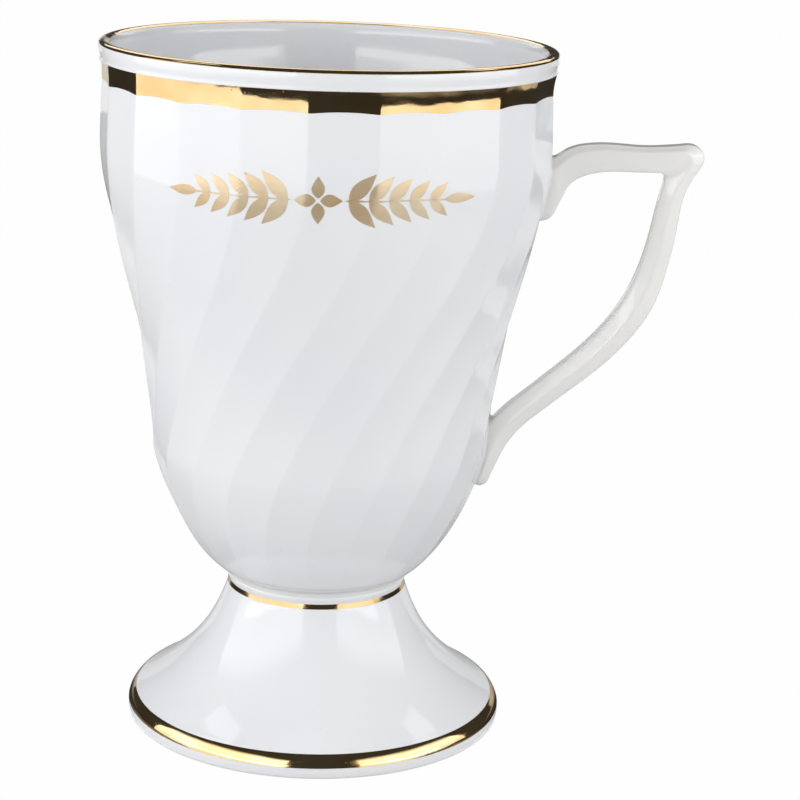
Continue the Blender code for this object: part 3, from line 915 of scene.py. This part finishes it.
def make_glaze_group():
    """Fired glaze: clouds in its tone, a faint wave of its surface, specks, and a bare standing ring."""
    group, web, takes, gives = new_group("fired_glaze", ("Body Colour", "Gloss Roughness"),
                                         ("Colour", "Roughness", "Height"))
    place = web.from_cup_axis()
    cloud = web.spread(web.noise(place, CLOUD_SCALE), *CLOUD_RANGE, 0.0, 1.0)
    clouded = web.blend(1.0, takes["Body Colour"], web.blend(cloud, *CLOUD_TONES), 'MULTIPLY')
    speck = web.math('MULTIPLY', web.dots(place, *SPECK_DOTS), SPECK_SHARE)
    speckled = web.blend(speck, clouded, SPECK_TONE)
    height = web.add("SeparateXYZ", Vector=place).outputs["Z"]
    bare = web.spread(height, *BARE_HEIGHTS, 1.0, 0.0)
    colour = web.blend(bare, speckled, BARE_TONE)
    mist = web.spread(web.noise(place, MIST_SCALE), *MIST_RANGE, 0.0, MIST_ROUGHNESS)
    misted = web.math('ADD', takes["Gloss Roughness"], mist)
    rough = web.math('ADD', misted, web.math('MULTIPLY', bare, BARE_ROUGHNESS))
    ripple = web.math('MULTIPLY', web.noise(place, RIPPLE_SCALE), RIPPLE_SHARE)
    wave = web.math('ADD', web.noise(place, GLAZE_WAVE_SCALE, detail=1.0), ripple)
    join(web, ((colour, gives["Colour"]), (rough, gives["Roughness"]), (wave, gives["Height"])))
    return group


def make_gold_group():
    """Brushed-on gold: strokes round the cup, thin and thick places, and pinholes."""
    group, web, takes, gives = new_group("brushed_gold", ("Gold Colour", "Polish Roughness"),
                                         ("Colour", "Roughness", "Height"))
    place = web.from_cup_axis()
    axes = web.add("SeparateXYZ", Vector=place).outputs
    along = web.math('MULTIPLY', web.math('ARCTAN2', axes["Y"], axes["X"]), STROKE_DRAW)
    stroke_place = web.add("CombineXYZ", X=along, Y=axes["Z"], Z=0.0).outputs[0]
    stroke = web.noise(stroke_place, STROKE_SCALE, detail=3.0)
    patch = web.spread(web.noise(place, PATCH_SCALE), *PATCH_RANGE, 0.0, 1.0)
    toned = web.blend(1.0, takes["Gold Colour"], web.blend(patch, *PATCH_TONES), 'MULTIPLY')
    pit = web.dots(place, *PIT_DOTS)
    colour = web.blend(web.math('MULTIPLY', pit, PIT_SHARE), toned, PIT_TONE)
    rub = web.spread(stroke, *STROKE_RANGE, 0.0, STROKE_ROUGHNESS)
    rubbed = web.math('ADD', takes["Polish Roughness"], rub)
    rough = web.math('ADD', rubbed, web.math('MULTIPLY', pit, PIT_ROUGHNESS))
    ridges = web.math('MULTIPLY', stroke, STROKE_RELIEF)
    wave = web.math('ADD', web.noise(place, GOLD_WAVE_SCALE, detail=1.0), ridges)
    join(web, ((colour, gives["Colour"]), (rough, gives["Roughness"]), (wave, gives["Height"])))
    return group


def make_material(name, group, colour, roughness, metallic, relief):
    """A finish from a shared group, with its own colour, polish and depth of relief."""
    material = bpy.data.materials.new(name)
    material.use_nodes = True
    web = Web(material.node_tree)
    shader = material.node_tree.nodes["Principled BSDF"]
    look = web.add("Group", {"node_tree": group})
    look.inputs[0].default_value = (*colour, 1)
    look.inputs[1].default_value = roughness
    bump = web.add("Bump", Height=look.outputs["Height"], Strength=1.0, Distance=relief)
    shader.inputs["Metallic"].default_value = metallic
    join(web, ((look.outputs["Colour"], shader.inputs["Base Color"]),
               (look.outputs["Roughness"], shader.inputs["Roughness"]),
               (bump.outputs["Normal"], shader.inputs["Normal"])))
    return material


def make_paper():
    """White paper: plain white to the camera and in reflections, and matt paper to the light."""
    paper = bpy.data.materials.new("white_paper")
    paper.use_nodes = True
    paper.node_tree.nodes.remove(paper.node_tree.nodes["Principled BSDF"])
    web = Web(paper.node_tree)
    rays = web.add("LightPath").outputs
    seen = web.math('ADD', rays["Is Camera Ray"], rays["Is Glossy Ray"])
    seen = web.math('MINIMUM', web.math('ADD', seen, rays["Is Transmission Ray"]), 1.0)
    matt = web.add("BsdfDiffuse", Color=(PAPER_TONE, PAPER_TONE, PAPER_TONE, 1)).outputs[0]
    white = web.add("Emission").outputs[0]
    mixed = web.add("MixShader", _0=web.math('MULTIPLY', seen, PAPER_SEEN), _1=matt, _2=white).outputs[0]
    join(web, ((mixed, paper.node_tree.nodes["Material Output"].inputs["Surface"]),))
    return paper


def make_cloth():
    """The dark surroundings that the gilding mirrors, with paler zones."""
    cloth = bpy.data.materials.new("grey_cloth")
    cloth.use_nodes = True
    cloth.node_tree.nodes.remove(cloth.node_tree.nodes["Principled BSDF"])
    web = Web(cloth.node_tree)
    place = web.from_cup_axis()
    reach = web.add("VectorMath", {"operation": 'LENGTH'}, _0=place).outputs["Value"]
    heading = web.add("VectorMath", {"operation": 'NORMALIZE'}, _0=place).outputs["Vector"]
    level = FLAG_DARK
    for azimuth, half, soft, start, end, pale in FLAG_ZONES:
        turned = math.radians(azimuth)
        facing = web.add("VectorMath", {"operation": 'DOT_PRODUCT'}, _0=heading,
                         _1=(math.sin(turned), -math.cos(turned), 0)).outputs["Value"]
        outside = math.cos(math.radians(half + soft))
        zone = web.spread(facing, outside, math.cos(math.radians(half)), 0.0, pale)
        zone = web.math('MULTIPLY', zone, web.spread(reach, start - FLAG_SOFT, start + FLAG_SOFT, 0.0, 1.0))
        zone = web.math('MULTIPLY', zone, web.spread(reach, end - FLAG_SOFT, end + FLAG_SOFT, 1.0, 0.0))
        level = web.math('MAXIMUM', level, zone)
    glow = web.add("Emission", Strength=level).outputs[0]
    join(web, ((glow, cloth.node_tree.nodes["Material Output"].inputs["Surface"]),))
    return cloth


def add_light(name, place, turned, size, radiance, mirrored_only=False):
    """A soft rectangular light that shows at its radiance in a mirror, and may light nothing else."""
    bpy.ops.object.select_all(action='DESELECT')
    bpy.ops.object.light_add(type='AREA', location=place, rotation=turned)
    light = bpy.context.object
    light.name = name
    light.data.shape = 'RECTANGLE'
    light.data.size, light.data.size_y = size
    light.data.energy = radiance * math.pi * size[0] * size[1]
    light.visible_camera = False
    light.visible_diffuse = not mirrored_only


def add_panel(name, heading, width, bottom, fade_start):
    """An upright light panel that faces the cup, brightest at its upper half and faded at its top."""
    azimuth = math.radians(heading)
    x = AXIS_X + PANEL_DISTANCE * math.sin(azimuth)
    y = -PANEL_DISTANCE * math.cos(azimuth)
    strips = [(bottom, PANEL_LOW), *PANEL_STEPS]
    for step, radiance in enumerate(PANEL_FADE):
        strips.append((fade_start + step * FADE_STEP, radiance))
    ends = [low for low, radiance in strips[1:]] + [fade_start + len(PANEL_FADE) * FADE_STEP]
    for (low, radiance), high in zip(strips, ends):
        add_light(name, (x, y, (low + high) / 2), (math.pi / 2, 0, azimuth), (width, high - low), radiance)


def add_mirrored_light(name, heading, rise, distance, size, radiance):
    """A light that faces the foot from a direction and shows in reflections alone."""
    azimuth = math.radians(heading)
    elevation = math.radians(rise)
    level = distance * math.cos(elevation)
    place = (AXIS_X + level * math.sin(azimuth), -level * math.cos(azimuth), distance * math.sin(elevation))
    add_light(name, place, (math.pi / 2 - elevation, 0, azimuth), size, radiance, mirrored_only=True)


def add_floor():
    """The sheet of white paper that the cup stands on."""
    bpy.ops.object.select_all(action='DESELECT')
    bpy.ops.mesh.primitive_plane_add(size=FLOOR_SIZE, location=(0, 0, FLOOR_Z))
    floor = bpy.context.object
    floor.name = "floor"
    floor.data.materials.append(make_paper())


def add_flag():
    """A ring of cloth on the floor, which shows in reflections alone."""
    flag = add_circle("dark_flag", FLAG_CORNERS, FLAG_RADII[0], FLAG_Z)
    grow = FLAG_RADII[1] / FLAG_RADII[0]
    bpy.ops.mesh.extrude_region_move()
    bpy.ops.transform.resize(value=(grow, grow, 1), center_override=(AXIS_X, 0, FLAG_Z))
    bpy.ops.object.mode_set(mode='OBJECT')
    flag.data.materials.append(make_cloth())
    for rays in ("camera", "diffuse", "shadow", "transmission"):
        setattr(flag, "visible_" + rays, False)


def make_room():
    """A pale room: white to the camera, a soft fill to the cup, and dark in reflections."""
    world = bpy.data.worlds.new("pale_room")
    world.use_nodes = True
    web = Web(world.node_tree)
    rays = web.add("LightPath").outputs
    fill = web.spread(rays["Is Glossy Ray"], 0.0, 1.0, ROOM_GLOW, ROOM_MIRRORED)
    join(web, ((web.math('MAXIMUM', fill, rays["Is Camera Ray"]),
                world.node_tree.nodes["Background"].inputs["Strength"]),))
    world.node_tree.nodes["Background"].inputs["Color"].default_value = (1, 1, 1, 1)
    bpy.context.scene.world = world


glaze_group = make_glaze_group()
gold_group = make_gold_group()
glaze = make_material("clear_glaze", glaze_group, colour=(0.835, 0.84, 0.855), roughness=0.045,
                      metallic=0.0, relief=0.00010)
# The handle's warmer copy of the glaze is painted shade: it stands in for the cream tone that the light
# gives the handle's upward faces.
painted_shade_glaze = make_material("painted_shade_glaze", glaze_group, colour=(0.848, 0.84, 0.822), roughness=0.045,
                            metallic=0.0, relief=0.00010)
# The slip gets a greyer glaze than the bowl and foot: painted shade along the creases at the handle's roots
# and under the bowl.
slip = make_material("glazed_slip", glaze_group, colour=(0.81, 0.81, 0.81), roughness=0.06,
                     metallic=0.0, relief=0.00010)
gold = make_material("burnished_gold", gold_group, colour=(0.85, 0.63, 0.325), roughness=0.06,
                     metallic=1.0, relief=0.00016)
print_gold = make_material("matt_print_gold", gold_group, colour=(0.96, 0.78, 0.52), roughness=0.34,
                           metallic=0.65, relief=0.00004)

bowl = model_bowl()
foot = model_foot()
neck_joint = model_neck_joint()
handle = model_handle()
arm_joint = model_joint("arm_joint", bowl, handle, *ARM_ROOT)
tail_joint = model_joint("tail_joint", bowl, handle, *TAIL_ROOT)
apply_modifier(handle, 'BOOLEAN', operation='DIFFERENCE', object=bowl, solver='EXACT')
rim_band = model_rim_band(bowl)
lip_line = model_ring_film(bowl, "lip_gold_line", *LIP_LINE)
neck_line = model_ring_film(foot, "neck_gold_line", *NECK_LINE)
foot_band = model_ring_film(foot, "foot_gold_band", *FOOT_BAND)
sprig = model_sprig(bowl)

dress(bowl, glaze, "porcelain", "bowl")
dress(foot, glaze, "porcelain", "foot")
dress(handle, painted_shade_glaze, "porcelain", "handle")
dress(neck_joint, slip, "slip", "neck_slip")
dress(arm_joint, slip, "slip", "arm_slip")
dress(tail_joint, slip, "slip", "tail_slip")
dress(lip_line, gold, "gilding", "lip_gilt_line")
dress(rim_band, gold, "gilding", "rim_gilt_band")
dress(neck_line, gold, "gilding", "neck_gilt_line")
dress(foot_band, gold, "gilding", "foot_gilt_band")
dress(sprig, print_gold, "gilding")

add_floor()
add_flag()
make_room()
for panel in PANELS:
    add_panel(*panel)
add_light("back_panel", BACK_PLACE, (BACK_TILT, 0, 0), BACK_SIZE, BACK_GLOW, mirrored_only=True)
for mirrored_light in MIRRORED_LIGHTS:
    add_mirrored_light(*mirrored_light)

bpy.ops.object.camera_add()
camera = bpy.context.object
heading = Matrix.Rotation(CAMERA_HEADING, 4, 'Z')
pitch = Matrix.Rotation(math.pi / 2 - CAMERA_PITCH, 4, 'X')
roll = Matrix.Rotation(CAMERA_ROLL, 4, 'Z')
camera.matrix_world = Matrix.Translation(CAMERA_PLACE) @ heading @ pitch @ roll
camera.data.lens = CAMERA_LENS
camera.data.sensor_width = CAMERA_SENSOR
camera.data.clip_start = CAMERA_CLIP
bpy.context.scene.camera = camera
bpy.context.scene.view_settings.view_transform = 'Standard'
